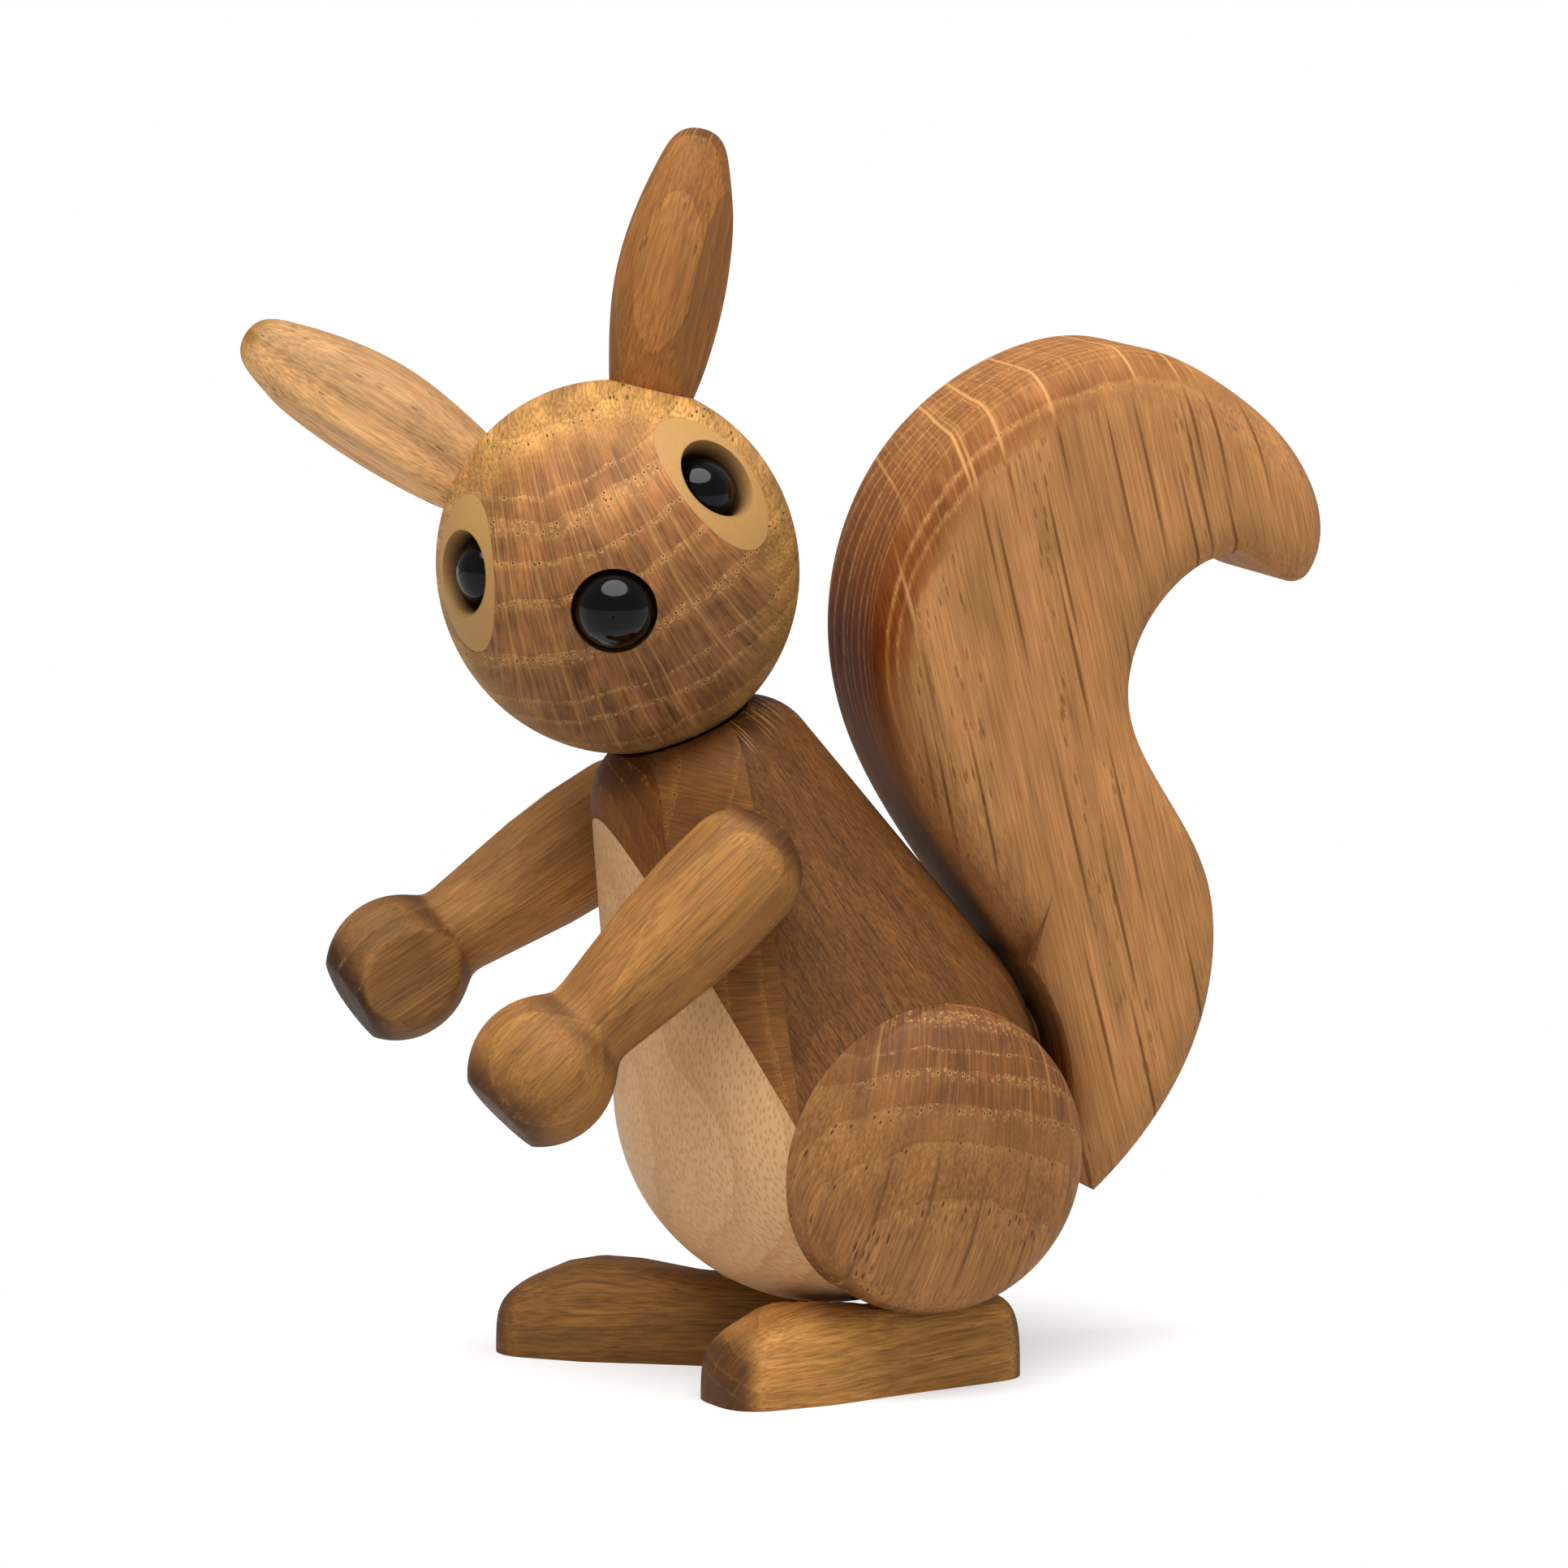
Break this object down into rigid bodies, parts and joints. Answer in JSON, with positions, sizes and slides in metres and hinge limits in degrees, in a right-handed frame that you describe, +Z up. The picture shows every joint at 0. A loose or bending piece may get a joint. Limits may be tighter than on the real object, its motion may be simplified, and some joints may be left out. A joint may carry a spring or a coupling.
{
  "type": "squirrel figurine",
  "caption": "Jointed wooden squirrel with a turning egg head, swinging arms, swivelling feet, a pale belly and an upright curled tail; stands on its soles.",
  "frame": {"origin": "on the floor, under the centre of the bounding box", "axes": "+Z up, the squirrel's body faces -Y, its left side is +X"},
  "size_m": [0.0626, 0.1252, 0.149],
  "materials": {
    "oiled_oak": "oiled",
    "pale_beech": "oiled",
    "pale_maple": "oiled",
    "black_bead": "polished",
    "birch_dowel": "plain"
  },
  "bodies": {
    "torso": {"torso_rear_block": "oiled_oak", "torso_middle_board": "oiled_oak", "torso_front_board": "oiled_oak", "belly": "pale_beech", "haunch_left": "oiled_oak", "haunch_right": "oiled_oak", "haunch_dowel_left": "birch_dowel", "haunch_dowel_right": "birch_dowel", "neck_pin": "birch_dowel"},
    "head": {"head": "oiled_oak", "ear_left": "oiled_oak", "ear_right": "oiled_oak", "ear_dowel_left": "birch_dowel", "ear_dowel_right": "birch_dowel", "eye_ring_left": "pale_maple", "eye_ring_right": "pale_maple", "eye_bead_left": "black_bead", "eye_bead_right": "black_bead", "nose_bead": "black_bead"},
    "arm_left": {"arm_left": "oiled_oak", "shoulder_pin_left": "birch_dowel"},
    "arm_right": {"arm_right": "oiled_oak", "shoulder_pin_right": "birch_dowel"},
    "foot_left": {"foot_left": "oiled_oak", "foot_pin_left": "birch_dowel"},
    "foot_right": {"foot_right": "oiled_oak", "foot_pin_right": "birch_dowel"},
    "tail": {"tail": "oiled_oak", "tail_dowel": "birch_dowel"}
  },
  "joints": [
    {"name": "head_turn", "type": "hinge", "parent": "torso", "child": "head", "pos_m": [0, 0.0032, 0.0343], "axis": [0, -0.3811, 0.9245], "continuous": true},
    {"name": "arm_left_swing", "type": "hinge", "parent": "torso", "child": "arm_left", "pos_m": [0.0225, -0.01541, 0.06449], "axis": [1, 0, 0], "range_deg": [-72, 22]},
    {"name": "arm_right_swing", "type": "hinge", "parent": "torso", "child": "arm_right", "pos_m": [-0.0225, -0.01541, 0.06449], "axis": [1, 0, 0], "range_deg": [-60, 34]},
    {"name": "foot_left_swivel", "type": "hinge", "parent": "torso", "child": "foot_left", "pos_m": [0.009, 0.0132, 0], "axis": [0, 0, 1], "range_deg": [-12, 12]},
    {"name": "foot_right_swivel", "type": "hinge", "parent": "torso", "child": "foot_right", "pos_m": [-0.01, -0.0045, 0], "axis": [0, 0, 1], "range_deg": [-12, 12]},
    {"name": "tail_twist", "type": "hinge", "parent": "torso", "child": "tail", "pos_m": [0, 0.0032, 0.0343], "axis": [0, 0.9781, 0.2079], "range_deg": [-25, 25]}
  ]
}
